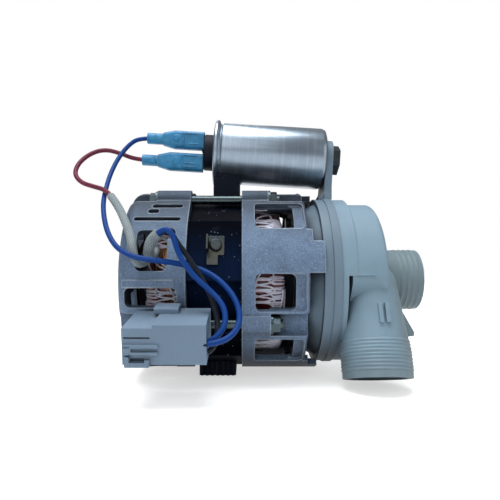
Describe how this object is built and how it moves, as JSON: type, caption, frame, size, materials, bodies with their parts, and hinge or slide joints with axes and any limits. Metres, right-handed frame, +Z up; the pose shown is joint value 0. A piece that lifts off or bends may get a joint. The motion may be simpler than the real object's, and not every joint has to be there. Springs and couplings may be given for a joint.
{
  "type": "dishwasher circulation pump",
  "caption": "Capacitor-run pump motor with slotted end brackets, scroll housing with axial inlet and downward outlet, a capacitor on an arm, and leads to a plug block.",
  "frame": {"origin": "centre of the inlet spigot's open face, on the shaft axis", "axes": "+X along the shaft and out of the inlet, +Z up towards the capacitor, -Y towards the outlet, leads and connector"},
  "size_m": [0.168, 0.1104, 0.1262],
  "materials": {
    "die_cast": "grainy die-cast aluminium",
    "stack_paint": "black stoving paint",
    "winding_wire": "varnished copper wire",
    "lacing_cord": "white lacing cord",
    "cutout_shell": "moulded capsule",
    "zinc_steel": "zinc-plated steel",
    "tab_brass": "tinned brass",
    "black_rubber": "moulded rubber",
    "shield_rubber": "bearing seal rubber",
    "bearing_steel": "ground steel",
    "ball_steel": "polished steel",
    "ball_cage": "pressed steel",
    "can_aluminium": "drawn aluminium can",
    "base_black": "moulded phenolic",
    "sleeve_blue": "translucent blue plastic",
    "pump_white": "natural white polypropylene",
    "impeller_plastic": "glass-filled plastic",
    "ceramic": "alumina ceramic",
    "carbon": "pressed carbon",
    "connector_white": "natural nylon",
    "lead_blue": "blue lead insulation",
    "lead_red": "dark red lead insulation",
    "lead_black": "black lead insulation",
    "sleeve_white": "woven glass sleeve",
    "core_steel": "bare electrical steel",
    "cage_aluminium": "cast aluminium"
  },
  "bodies": {
    "pump_frame": {"left_end_bracket": "die_cast", "right_end_bracket": "die_cast", "stator_stack": "stack_paint", "stator_winding": "winding_wire", "winding_lacing": "lacing_cord", "thermal_cutout": "cutout_shell", "through_bolts": "zinc_steel", "bolt_nuts": "zinc_steel", "earth_tab": "tab_brass", "earth_screw": "zinc_steel", "rubber_foot": "black_rubber", "capacitor_pad": "black_rubber", "left_bearing_outer_ring": "bearing_steel", "right_bearing_outer_ring": "bearing_steel", "bearing_shields": "shield_rubber", "bearing_spring_washer": "bearing_steel", "capacitor_can": "can_aluminium", "capacitor_base": "base_black", "capacitor_blades": "tab_brass", "capacitor_nut": "zinc_steel", "upper_faston_sleeve": "sleeve_blue", "lower_faston_sleeve": "sleeve_blue", "faston_receptacles": "tab_brass", "pump_rear_housing": "pump_white", "rear_housing_screws": "zinc_steel", "housing_o_ring": "black_rubber", "pump_volute": "pump_white", "seal_seat_cup": "black_rubber", "seal_seat_ring": "ceramic", "connector_body": "connector_white", "connector_terminals": "tab_brass", "lead_capacitor_blue": "lead_blue", "lead_capacitor_red": "lead_red", "lead_motor_blue": "lead_blue", "lead_motor_black": "lead_black", "sleeve_long": "sleeve_white", "sleeve_short": "sleeve_white"},
    "rotor": {"motor_shaft": "bearing_steel", "rotor_core": "core_steel", "rotor_cage": "cage_aluminium", "left_bearing_inner_ring": "bearing_steel", "right_bearing_inner_ring": "bearing_steel", "water_slinger": "black_rubber", "seal_face_ring": "carbon", "seal_bellows": "black_rubber", "impeller": "impeller_plastic", "impeller_nut": "impeller_plastic"},
    "left_ball_set": {"left_bearing_balls": "ball_steel", "left_bearing_cage": "ball_cage"},
    "right_ball_set": {"right_bearing_balls": "ball_steel", "right_bearing_cage": "ball_cage"}
  },
  "joints": [
    {"name": "rotor_spin", "type": "hinge", "parent": "pump_frame", "child": "rotor", "pos_m": [-0.097, 0, 0], "axis": [1, 0, 0], "continuous": true},
    {"name": "left_balls_spin", "type": "hinge", "parent": "pump_frame", "child": "left_ball_set", "pos_m": [-0.13, 0, 0], "axis": [1, 0, 0], "continuous": true},
    {"name": "right_balls_spin", "type": "hinge", "parent": "pump_frame", "child": "right_ball_set", "pos_m": [-0.0628, 0, 0], "axis": [1, 0, 0], "continuous": true}
  ],
  "couplings": [
    {"joint": "left_balls_spin", "follows": "rotor_spin", "ratio": 0.368},
    {"joint": "right_balls_spin", "follows": "rotor_spin", "ratio": 0.368}
  ]
}
